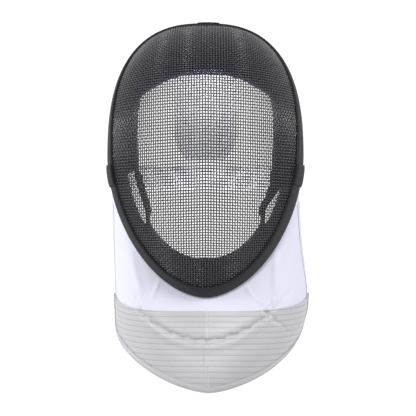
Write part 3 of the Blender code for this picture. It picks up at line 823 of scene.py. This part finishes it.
def round_channel(turns, outer_lip, inner_lip, inside, thickness):
    """Sections of a folded tape round the edge: two lips joined by a rounded web.

    The outer side goes from lip to lip round a half circle flattened to the web's depth,
    and the inner side comes back along the clear channel. The lips are rounded off.
    """
    outside = inside + thickness
    past = inside - MESH_WALL / 2
    depth = past + thickness
    middle = (inside + outside) / 2
    lip = thickness / 2
    back, down = lip * LIP_BACK, lip * LIP_DOWN
    bends = np.linspace(-1, 1, WEB_POINTS)
    path = [
        (outer_lip, middle),
        (outer_lip - back, outside - down),
        (outer_lip - lip, outside),
        *((outer_lip * share, outside) for share in (0.75, 0.5, 0.25)),
        *((-depth * (1 - bend**4) ** 0.5, -bend * outside) for bend in bends),
        (inner_lip * 0.5, -outside),
        (inner_lip - lip, -outside),
        (inner_lip - back, down - outside),
        (inner_lip, -middle),
        *((inner_lip * share, -inside) for share in (1, 0.5, 0)),
        *((-past, inside * share) for share in (-1, 0, 1)),
        *((outer_lip * share, inside) for share in (0, 0.33, 0.66, 1)),
    ]
    rings = [
        edge_point(turns, np.asarray(distance) * np.ones_like(turns), offset)
        for distance, offset in path
    ]
    return np.stack(rings, axis=1)


def make_edge_trim(finish):
    """The binding folded round the wire front's edge."""
    turns = np.arange(TRIM_SECTIONS) * 2 * math.pi / TRIM_SECTIONS
    inside = MESH_WALL / 2 + CLEARANCE
    sections = round_channel(turns, trim_lip(turns), TRIM_INNER_LIP, inside, TRIM_WALL)
    new_piece("folded_edge_binding", swept(sections, ring=True), finish, "edge_trim")


def make_sleeve(name, node, middle_turn, length, thickness, finish):
    """A folded sleeve over the binding, a length of it along the edge, thinner at its ends."""
    half = length / 2 / rim_outline(np.array(middle_turn))[0]
    turns = np.linspace(middle_turn - half, middle_turn + half, SLEEVE_SECTIONS)
    inside = MESH_WALL / 2 + CLEARANCE + TRIM_WALL + SLEEVE_GAP
    spare = thickness / 2
    full = 1 - SLEEVE_TAPER * np.linspace(-1, 1, SLEEVE_SECTIONS) ** 4
    sections = round_channel(
        turns, trim_lip(turns) + spare, TRIM_INNER_LIP - spare, inside * full, thickness * full
    )
    new_piece(name, swept(sections), finish, node)


def make_sleeves(finish):
    """The lap over the binding's joint at the crown, and the strap's two webbing tabs."""
    crown = math.pi / 2 - LAP_OFFSET / CROWN_RISE
    left, right = math.pi + TAB_TURN, 2 * math.pi - TAB_TURN
    make_sleeve("crown_lap", "crown_tab", crown, LAP_LENGTH, LAP_CLOTH, finish)
    for side, turn in (("left", left), ("right", right)):
        make_sleeve(
            f"webbing_tab_{side}", f"strap_tab_{side}", turn, TAB_LENGTH, TAB_WALL, finish
        )


# Lining


def opening_share(turn):
    """Share of the way out at which the face opening ends, smooth between the rows."""
    height = np.degrees(np.arcsin(np.clip(np.sin(turn), -1, 1)))
    rows = np.array(FACE_OPENING)
    fine = np.linspace(-90, 90, 2 * 180 + 1)
    shares = np.interp(fine, rows[:, 0], rows[:, 1])
    blur = np.hanning(2 * OPENING_BLUR + 1)
    padded = np.pad(shares, OPENING_BLUR, mode="reflect")
    return np.interp(height, fine, np.convolve(padded, blur / blur.sum(), mode="valid"))


def sewn_channel(across, place, half_width, depth):
    """Share of a pad's thickness beside a line of stitches that pulls it in, as a bell."""
    return 1 - depth * np.exp(-(((np.abs(across) - place) / half_width) ** 2))


def make_pad(name, node, first, last, start, end, thickness, finish):
    """A crowned pad on the inside of the wire front, between two turns and two borders.

    Its thickness falls with the fourth power of the way across and the tenth power of the
    way along, and a sewn channel near its border pulls it in.
    """
    radius = rim_outline(np.array([first, last]))[0]
    first, last = first + PAD_SEAM / 2 / radius[0], last - PAD_SEAM / 2 / radius[1]
    steps = max(PAD_LEAST_STEPS, round((last - first) / PAD_STEP))
    turns = np.linspace(first, last, steps + 1)
    lip = out_at_distance(turns, TRIM_INNER_LIP + PAD_SEAM)
    near = out_of_share(turns, start(turns))
    far = out_of_share(turns, end(turns)) if end else lip
    outs = near + (far - near) * np.linspace(0, 1, PAD_ROWS + 1)[:, None]
    across = np.linspace(-1, 1, PAD_ROWS + 1)[:, None]
    along = np.linspace(-1, 1, steps + 1)[None, :]
    full = (1 - across**4) * (1 - along**10)
    depth = PAD_EDGE + (thickness - PAD_EDGE) * full if thickness > PAD_EDGE else thickness
    depth = depth * sewn_channel(across, *PAD_CHANNEL) * np.ones_like(outs)
    grid_turns = np.broadcast_to(turns, outs.shape)
    face = MESH_WALL / 2 + LINING_GAP
    outer = dome_offset(grid_turns, outs, -face * np.ones_like(outs))
    inner = dome_offset(grid_turns, outs, -(face + depth))
    new_piece(name, wall(outer, inner), finish, node)


def steady(share):
    """A border at the same share of the way out at every turn."""
    return lambda turns: np.full_like(turns, share)


def slot_inside(side):
    """Inner border of a slot, closed in by a share of its width at its two ends.

    It closes with the square of the way up and the eighth power of the way down.
    """
    upper, lower = SLOT_CLOSED[side]
    top, width = SLOT_TOP[side], SLOT_OUTSIDE - SLOT_INSIDE

    def border(turns):
        """The border's share at each turn."""
        below = np.arcsin(np.clip(-np.sin(turns), -1, 1))
        way = np.clip((below - top) / (SLOT_BOTTOM - top), 0, 1)
        return SLOT_INSIDE + width * (upper * (1 - way) ** 2 + lower * way**8)

    return border


def slot_roll_start(side):
    """The face opening's border beside a slot, kept clear of the slot's own border."""
    border = slot_inside(side)
    return lambda turns: np.minimum(opening_share(turns), border(turns) - ROLL_LEAST_SHARE)


def make_lining(navy, black):
    """The padded lining round the face opening, with its two open slots at the cheeks."""
    crown, ear, chin_end = math.pi / 2, math.pi, 2 * math.pi
    first, last = crown - FOREHEAD_HALF_TURN, crown + FOREHEAD_HALF_TURN
    sides = {
        "left": (ear + SLOT_TOP["left"], ear + SLOT_BOTTOM),
        "right": (chin_end - SLOT_BOTTOM, chin_end - SLOT_TOP["right"]),
    }
    whole = [
        ("forehead_padding", "forehead_pad", first, last, navy),
        ("temple_padding_left", "temple_pad_left", last, sides["left"][0], black),
        ("temple_padding_right", "temple_pad_right", -SLOT_TOP["right"], first, black),
        ("chin_padding", "chin_pad", sides["left"][1], sides["right"][0], black),
    ]
    for name, node, first, last, finish in whole:
        make_pad(name, node, first, last, opening_share, None, PAD_THICKNESS, finish)
    for side, (first, last) in sides.items():
        make_pad(
            f"cheek_padding_{side}", f"cheek_roll_{side}", first, last, slot_roll_start(side),
            slot_inside(side), ROLL_THICKNESS, black,
        )
        make_pad(
            f"rim_padding_{side}", f"rim_lining_{side}", first, last, steady(SLOT_OUTSIDE),
            None, LINING_THICKNESS, black,
        )


# Bib


def bib_top(across):
    """The bib's upper edge, which meets the back of the binding's web from ear to ear."""
    turn = 1.5 * math.pi + across * (math.pi / 2 - BIB_TOP_TURN)
    past = CLEARANCE + TRIM_WALL + SLEEVE_GAP + BIB_WALL / 2
    flat = edge_point(turn.ravel(), np.full(turn.size, -past), 0)
    return flat.reshape(*turn.shape, 3)


def bib_low(across):
    """The bib's lower edge: a squared ellipse from the front, an ellipse in plan."""
    angle = np.abs(across) * math.pi / 2
    power = 2 / BIB_CURVE_SQUARE
    side = np.sin(angle) ** power
    plan = 1 - np.sqrt(np.clip(1 - side**2, 0, None))
    curve_z = CENTRE_Z - BIB_DROP + BIB_CURVE_RISE
    return np.stack(
        [
            BIB_LEAN + np.sign(across) * BIB_HALF_WIDTH * side,
            -BIB_FRONT + (BIB_FRONT + BIB_BACK) * plan,
            curve_z - BIB_CURVE_RISE * np.cos(angle) ** power,
        ],
        axis=-1,
    )


def fold_lift(x, z):
    """Height of the bib's folds at a place in a front view: soft ridges along arcs.

    Puckers are waves along a fold, in its height and to its two sides.
    """
    lift = np.zeros_like(x)
    for across, up, lean, half_length, rise, half_width, height, puckers in BIB_FOLDS:
        side, high = x / HALF_WIDTH - across, (z - CENTRE_Z) / HALF_WIDTH - up
        slope = math.radians(lean)
        along = (side * math.cos(slope) + high * math.sin(slope)) / half_length
        off = high * math.cos(slope) - side * math.sin(slope) - rise * along**2
        wave = along * half_length * HALF_WIDTH * 2 * math.pi / PUCKER_SPACING
        off += puckers * half_width * np.sin(PUCKER_SWAY * wave)
        uneven = 1 + puckers * np.sin(wave) * np.cos(PUCKER_BEAT * wave)
        lift += height * uneven * np.exp(-((off / half_width) ** 2) - along**4)
    return lift


def bib_base(across, down):
    """Middle of the bib's wall before its folds: from the upper edge to the lower.

    Between them it swells outwards, as the sine of a power of the way down.
    """
    top, low = bib_top(across), bib_low(across)
    angle = across * math.pi / 2
    outward = np.stack([np.sin(angle), -np.cos(angle), np.zeros_like(angle)], axis=-1)
    left, right = BIB_SWELL["left"], BIB_SWELL["right"]
    fullest = (left + right) / 2 + (right - left) / 2 * np.sin(angle)
    swell = fullest * np.sin(math.pi * np.clip(down, 0, 1) ** BIB_SWELL_POWER)
    return top + (low - top) * down[..., None] + outward * swell[..., None]


def bib_normal(across, down):
    """The bib's outward normal, without its folds."""
    step = BIB_DIFFERENCE
    low, high = np.maximum(across - step, -1), np.minimum(across + step, 1)
    sideways = bib_base(high, down) - bib_base(low, down)
    downwards = bib_base(across, down + step) - bib_base(across, down - step)
    return unit(np.cross(downwards, sideways))


def bib_end(across):
    """How far down the bib reaches, rounded off at its two lower corners."""
    into = np.clip((np.abs(across) - 1 + BIB_CORNER_ACROSS) / BIB_CORNER_ACROSS, 0, 1)
    return 1 - BIB_CORNER_DOWN * (1 - np.sqrt(1 - into**2))


def bib_offset(across, down, offset):
    """A point at an offset outside the middle of the bib's wall, with its folds."""
    base = bib_base(across, down)
    to_edges = [down, bib_end(across) - down, 1 - np.abs(across)]
    fade = np.prod([np.clip(share / FOLD_FADE, 0, 1) for share in to_edges], axis=0)
    lift = fold_lift(base[..., 0], base[..., 2]) * fade + offset
    return base + bib_normal(across, down) * lift[..., None]


def lame_start(across):
    """How far down the bib its conductive layer starts, from its height in front."""
    top, low = bib_top(across)[..., 2], bib_low(across)[..., 2]
    height = CENTRE_Z - LAME_TOP_DROP + LAME_SIDE_RISE * np.abs(across) ** 3
    return (top - height) / (top - low)


def make_bib_half(name, side, cotton, lame):
    """One half of the bib: its cotton wall, and the conductive layer over its lower part.

    The layer's quilting is a power of a cosine of the height, and it dips at the front seam.
    """
    columns = side * np.linspace(0, 1, BIB_COLUMNS)
    start, end = lame_start(columns), bib_end(columns)
    half = BIB_WALL / 2
    from_seam = np.array([side * SEAM_GAP / 2, 0, 0])
    downs = np.linspace(0, 1, BIB_ROWS)[:, None] * end
    across = np.broadcast_to(columns, downs.shape)
    faces = [bib_offset(across, downs, offset) + from_seam for offset in (half, -half)]
    cloth = new_piece(f"cotton_bib_{name}", wall(*faces), cotton, f"bib_cloth_{name}")
    downs = start + np.linspace(0, 1, LAME_ROWS)[:, None] * (end - start)
    across = np.broadcast_to(columns, downs.shape)
    base = bib_base(across, downs)
    rise = QUILT_RISE_SHARE * LAME_SIDE_RISE * np.abs(across) ** 3
    level = CENTRE_Z - LAME_TOP_DROP + rise - base[..., 2]
    quilt = np.abs(np.cos(math.pi * level / QUILT_SPACING)) ** QUILT_SHARPNESS
    places = np.stack([metres_along(base, 1), level], axis=-1)
    inside = half + CLEARANCE
    sunk = QUILT_DEPTH * quilt + SEAM_DIP * np.exp(-((base[..., 0] / SEAM_DIP_WIDTH) ** 2))
    offsets = (inside + LAME_WALL - sunk, inside)
    faces = [bib_offset(across, downs, offset) + from_seam for offset in offsets]
    layer = new_piece(f"quilted_bib_{name}", wall(*faces, places), lame, f"bib_lame_{name}")


def bib_moved(across, down, move):
    """The place on the bib that lies a small move away, by the slopes of its surface."""
    step = BIB_DIFFERENCE
    low, high = np.maximum(across - step, -1), np.minimum(across + step, 1)
    sideways = (bib_base(high, down) - bib_base(low, down)) / (high - low)[..., None]
    downwards = (bib_base(across, down + step) - bib_base(across, down - step)) / (2 * step)
    ss, sd = (sideways * sideways).sum(-1), (sideways * downwards).sum(-1)
    dd = (downwards * downwards).sum(-1)
    ms, md = (move * sideways).sum(-1), (move * downwards).sum(-1)
    share = ss * dd - sd * sd
    moved = np.clip(across + (ms * dd - md * sd) / share, -1, 1)
    return moved, down + (md * ss - ms * sd) / share


def past_edge(across, down):
    """Direction in the cloth's surface, square to a path on its free edge, away from it."""
    path = unit(np.gradient(bib_base(across, down), axis=0))
    return unit(np.cross(path, bib_normal(across, down)))


def binding_sections(across, down, outside, binding_wall):
    """U-shaped sections along a path on the bib's free edge, with a rounded web."""
    past, normal = past_edge(across, down), bib_normal(across, down)
    edge = bib_base(across, down)
    inside = -BIB_WALL / 2 - SLEEVE_GAP
    outside = outside + HEM_GAP

    def lip(share, offset):
        """A point of a lip, at a share of its width in from the edge."""
        return bib_offset(*bib_moved(across, down, -past * HEM_WIDTH * share), offset)

    def web(reach, offset):
        """A point past the edge, at an offset from the middle of the cloth."""
        return edge + past * reach + normal * offset

    reach, out, low = SLEEVE_GAP + binding_wall, outside + binding_wall, inside - binding_wall
    bend, drop = reach * HEM_WEB_REACH, binding_wall * HEM_WEB_DROP
    rows = [
        lip(1, (outside + out) / 2),
        lip(1, out),
        lip(0.5, out),
        lip(HEM_ROUND, out),
        web(0, out - binding_wall * HEM_LIP_DROP),
        web(bend, out - drop),
        web(reach, (out + low) / 2),
        web(bend, low + drop),
        web(0, low),
        lip(1, low),
        lip(1, inside),
        web(0, inside),
        web(SLEEVE_GAP, inside),
        web(SLEEVE_GAP, outside),
        web(0, outside),
        lip(0.5, outside),
        lip(1, outside),
    ]
    return np.stack(rows, axis=1)


def make_bindings(cotton, lame):
    """The grey hem of the bib's lower edge, and the cotton binding of its side edges."""
    half = np.linspace(0, 1, HEM_COLUMNS)
    columns = np.concatenate([-half[::-1], half[1:]])
    top = float(lame_start(np.array([1.0]))[0])
    rise = np.linspace(top, bib_end(np.array(1.0)), HEM_SIDE_ROWS + 1)[:-1]
    side = np.ones(HEM_SIDE_ROWS)
    across = np.concatenate([-side, columns, side])
    down = np.concatenate([rise, bib_end(columns), rise[::-1]])
    stack = BIB_WALL / 2 + CLEARANCE + LAME_WALL
    sections = binding_sections(across, down, stack, HEM_WALL)
    new_piece("grey_hem", swept(sections), lame, "bib_hem")
    start = BINDING_START / (BIB_DROP - CHIN_DROP)
    stop = top - BINDING_STOP_GAP / (CHIN_DROP - BIB_CURVE_RISE)
    steps = np.linspace(start, stop, EDGE_ROWS)
    for name, side, down in (("left", -1.0, steps), ("right", 1.0, steps[::-1])):
        sections = binding_sections(np.full(EDGE_ROWS, side), down, BIB_WALL / 2, HEM_WALL)
        new_piece(f"cotton_edge_{name}", swept(sections), cotton, f"side_binding_{name}")


def make_stitches(name, across, down, offset, finish):
    """Stitches along a path on the bib: short threads, each sunk in at its two ends.

    A stitch is an arch whose height is the sine of the way along it, with a square section.
    """
    line, normals = bib_offset(across, down, offset), bib_normal(across, down)
    lengths = metres_along(line[None], 1)[0]
    centres = np.arange(STITCH_SPACING, lengths[-1] - STITCH_SPACING, STITCH_SPACING)
    way = np.linspace(-0.5, 0.5, STITCH_POINTS)
    at = centres[:, None] + way[None, :] * STITCH_LENGTH
    middle = np.stack([np.interp(at, lengths, line[:, k]) for k in range(3)], axis=-1)
    up = unit(np.stack([np.interp(at, lengths, normals[:, k]) for k in range(3)], axis=-1))
    side = unit(np.cross(unit(np.gradient(middle, axis=1)), up))
    arch = np.cos(way * math.pi)
    middle = middle + up * (THREAD * (STITCH_ARCH * arch - STITCH_SINK))[None, :, None]
    size = (STITCH_TIP + (1 - STITCH_TIP) * arch) * THREAD / 2
    rings = rings_round(middle, side, up, size, 4)
    numbers = np.arange(rings[..., 0].size).reshape(rings.shape[:3])
    around = np.concatenate([numbers, numbers[:, :, :1]], axis=2)
    sides = cells(around.transpose(1, 2, 0)).transpose(2, 0, 1).reshape(-1, 4)
    faces = np.concatenate([sides, numbers[:, 0], numbers[:, -1]])
    shell = faces, np.zeros((len(faces), 4, 2)), []
    new_piece(name, (rings.reshape(-1, 3), shell), finish)


def make_seams(thread):
    """Stitching: a row beside the front seam, and one along the hem."""
    outside = BIB_WALL / 2 + CLEARANCE + LAME_WALL
    downs = np.linspace(lame_start(np.array([0.0]))[0], STITCH_REACH, SEAM_POINTS)
    across = np.full_like(downs, SEAM_STITCH_SIDE / BIB_HALF_WIDTH)
    make_stitches("front_seam_stitches", across, downs, outside, thread)
    columns = np.linspace(-STITCH_REACH, STITCH_REACH, HEM_POINTS)
    downs = bib_end(columns)
    inwards = -past_edge(columns, downs) * HEM_WIDTH * HEM_STITCH_SHARE
    across, downs = bib_moved(columns, downs, inwards)
    make_stitches("hem_stitches", across, downs, outside + HEM_GAP + HEM_WALL, thread)


# Back of the mask


def crown_drop(x):
    """How far the crown's edge has fallen at a distance from the middle."""
    share = np.abs(x / HALF_WIDTH) ** CROWN_SQUARE
    return CROWN_RISE * (1 - (1 - share) ** (1 / CROWN_SQUARE))


def make_back_tongue(cotton):
    """The sprung tongue at the back: an ellipse in profile, with soft padded edges.

    It thins with the sixth power of the way across and the twentieth of the way along, and
    its lower end narrows as a circle does.
    """
    sleeve = MESH_WALL / 2 + CLEARANCE + TRIM_WALL + SLEEVE_GAP + LAP_WALL
    start_y = CROWN_BACK - TONGUE_OVERLAP
    crown = np.array([math.pi / 2])
    top_z = edge_point(crown, np.array([TRIM_INNER_LIP]), -sleeve - SLEEVE_GAP)[0][2]
    way = np.linspace(0, 1, TONGUE_ROWS)[:, None]
    angle = way * TONGUE_END_ANGLE
    across = np.sin(np.linspace(-1, 1, TONGUE_COLUMNS) * math.pi / 2)[None, :]
    last = np.clip((way - 1 + TONGUE_ROUND) / TONGUE_ROUND, 0, 1)
    x = across * TONGUE_WIDTH / 2 * np.sqrt(1 - last**2 * TONGUE_NARROWING)
    reach_y = TONGUE_BACK - start_y
    rim = (1 - across**6) ** 0.5 * (1 - (2 * way - 1) ** 20) ** 0.5
    full = rim * sewn_channel(across, *TONGUE_CHANNEL)

    def face(depth):
        """The tongue's face at a depth under its outer side, as an ellipse in profile."""
        drop = depth + crown_drop(x)
        y = start_y + (reach_y - drop) * np.sin(angle)
        z = top_z - TONGUE_DROP + (TONGUE_DROP - drop) * np.cos(angle)
        return np.stack([x * np.ones_like(angle), y, z], axis=-1)

    middle = TONGUE_WALL / 2
    surface = wall(face(middle - middle * full), face(middle + middle * full))
    new_piece("sprung_tongue_cover", surface, cotton, "back_tongue")


def make_back_strap(elastic):
    """The elastic strap, from tab to tab: half an ellipse in plan, with rounded edges."""
    turn = np.array([-TAB_TURN])
    past = CLEARANCE + TRIM_WALL + 3 * SLEEVE_GAP + TAB_WALL
    start = edge_point(turn, np.array([-past]), 0)[0]
    angle = np.linspace(-math.pi / 2, math.pi / 2, STRAP_SECTIONS)[:, None]
    turns = np.linspace(0, 2 * math.pi, STRAP_POINTS, endpoint=False)
    half_height = to_power(np.cos(turns), STRAP_EDGE_POWER) * STRAP_WIDTH / 2
    depth = to_power(np.sin(turns), STRAP_FACE_POWER) * STRAP_WALL / 2
    step = STRAP_LEAN_TURN / 2
    rise = dome_point(turn + step, 1.0)[0] - dome_point(turn - step, 1.0)[0]
    lean = rise[1] / rise[2]
    reach = STRAP_BACK - start[1]
    x = (start[0] + depth) * np.sin(angle)
    y = start[1] + lean * half_height * np.sin(angle) ** 2 + (reach + depth) * np.cos(angle)
    z = start[2] + half_height * np.ones_like(angle)
    new_piece("elastic_strap", swept(np.stack([x, y, z], axis=-1)), elastic, "back_strap")


# Studio


def placed(name, data, place, target):
    """A lamp or camera at a place, aimed at a target."""
    holder = bpy.data.objects.new(name, data)
    holder.location = place
    aim = Vector(target) - Vector(place)
    holder.rotation_euler = aim.to_track_quat("-Z", "Y").to_euler()
    bpy.context.collection.objects.link(holder)
    return holder


def make_backdrop():
    """A white floor that curves up into a backdrop, on a quarter circle."""
    bend = np.linspace(0, 1, BACKDROP_ROWS) * math.pi / 2
    curve = BACKDROP_BEND * np.stack([1 + np.sin(bend), 1 - np.cos(bend)], axis=-1)
    profile = [[(BACKDROP_FRONT, 0.0)], curve, [(2 * BACKDROP_BEND, BACKDROP_TOP)]]
    y, z = np.concatenate(profile).T[..., None]
    x = np.linspace(-BACKDROP_HALF_WIDTH, BACKDROP_HALF_WIDTH, 3)
    points = np.stack(np.broadcast_arrays(x, y, z + CENTRE_Z - BIB_DROP - FLOOR_DROP), axis=-1)
    numbers = np.arange(points[..., 0].size).reshape(points.shape[:2])
    mesh = bpy.data.meshes.new("backdrop")
    mesh.from_pydata(points.reshape(-1, 3).tolist(), [], cells(numbers).tolist())
    mesh.shade_smooth()
    material = new_finish(
        "backdrop_paper", (0.1, 0.1, 0.1), 0.9,
        Emission_Color=(1, 1, 1, 1), Emission_Strength=1.0,
    )[0]
    mesh.materials.append(material)
    backdrop = bpy.data.objects.new("backdrop", mesh)
    bpy.context.collection.objects.link(backdrop)


def make_studio():
    """A pale backdrop, soft lights and the camera."""
    make_backdrop()
    middle = (0, 0, CENTRE_Z)
    lamps = {
        # name: (place, target, size, power)
        "front_light": ((-0.7, -1.9, 0.7), middle, 0.4, 20),
        "right_light": ((1.3, -0.9, 0.5), middle, 0.5, 16),
        "left_light": ((-1.5, -0.5, 0.2), middle, 0.5, 12),
        "neck_light": ((0.0, 0.03, -0.46), (0.0, 0.085, -0.09), 0.06, 2.4),
    }
    for name, (place, target, size, power) in lamps.items():
        lamp = bpy.data.lights.new(name, "AREA")
        lamp.size, lamp.energy = size, power
        placed(name, lamp, place, target)
    world = bpy.data.worlds.new("studio")
    world.use_nodes = True
    background = world.node_tree.nodes["Background"]
    background.inputs["Color"].default_value = (1, 1, 1, 1)
    background.inputs["Strength"].default_value = WORLD_LIGHT
    bpy.context.scene.world = world
    camera = bpy.data.cameras.new("camera")
    camera.sensor_width = SENSOR
    camera.lens = (VIEW_DISTANCE + VIEW_PLANE) / PIXEL / PHOTO_WIDTH * SENSOR
    holder = bpy.data.objects.new("camera", camera)
    holder.location = (VIEW_ACROSS * PIXEL, -VIEW_DISTANCE, CENTRE_Z - VIEW_DOWN * PIXEL)
    holder.rotation_euler = (math.pi / 2, 0, 0)
    bpy.context.collection.objects.link(holder)
    bpy.context.scene.camera = holder
    bpy.context.scene.view_settings.view_transform = "Standard"


def make_mask():
    """Every piece of the mask."""
    binding, lame = binding_tape(), grey_lame()
    cotton = white_cotton("bib_cotton", (0.76, 0.765, 0.90), (0.80, 0.805, 0.93))
    padded_cotton = white_cotton("tongue_cotton", (0.80, 0.80, 0.81), (0.84, 0.84, 0.85))
    make_wire_net(coated_wire())
    make_edge_trim(binding)
    make_sleeves(binding)
    navy = padding("navy_padding", (0.014, 0.016, 0.075), (0.024, 0.027, 0.12))
    black = padding("black_padding", (0.003, 0.003, 0.004), (0.008, 0.008, 0.009))
    make_lining(navy, black)
    make_bib_half("left", -1, cotton, lame)
    make_bib_half("right", 1, cotton, lame)
    make_bindings(cotton, lame)
    make_seams(sewing_thread("grey_thread", (0.85, 0.85, 0.86)))
    make_back_tongue(padded_cotton)
    make_back_strap(white_elastic())


make_mask()
make_studio()
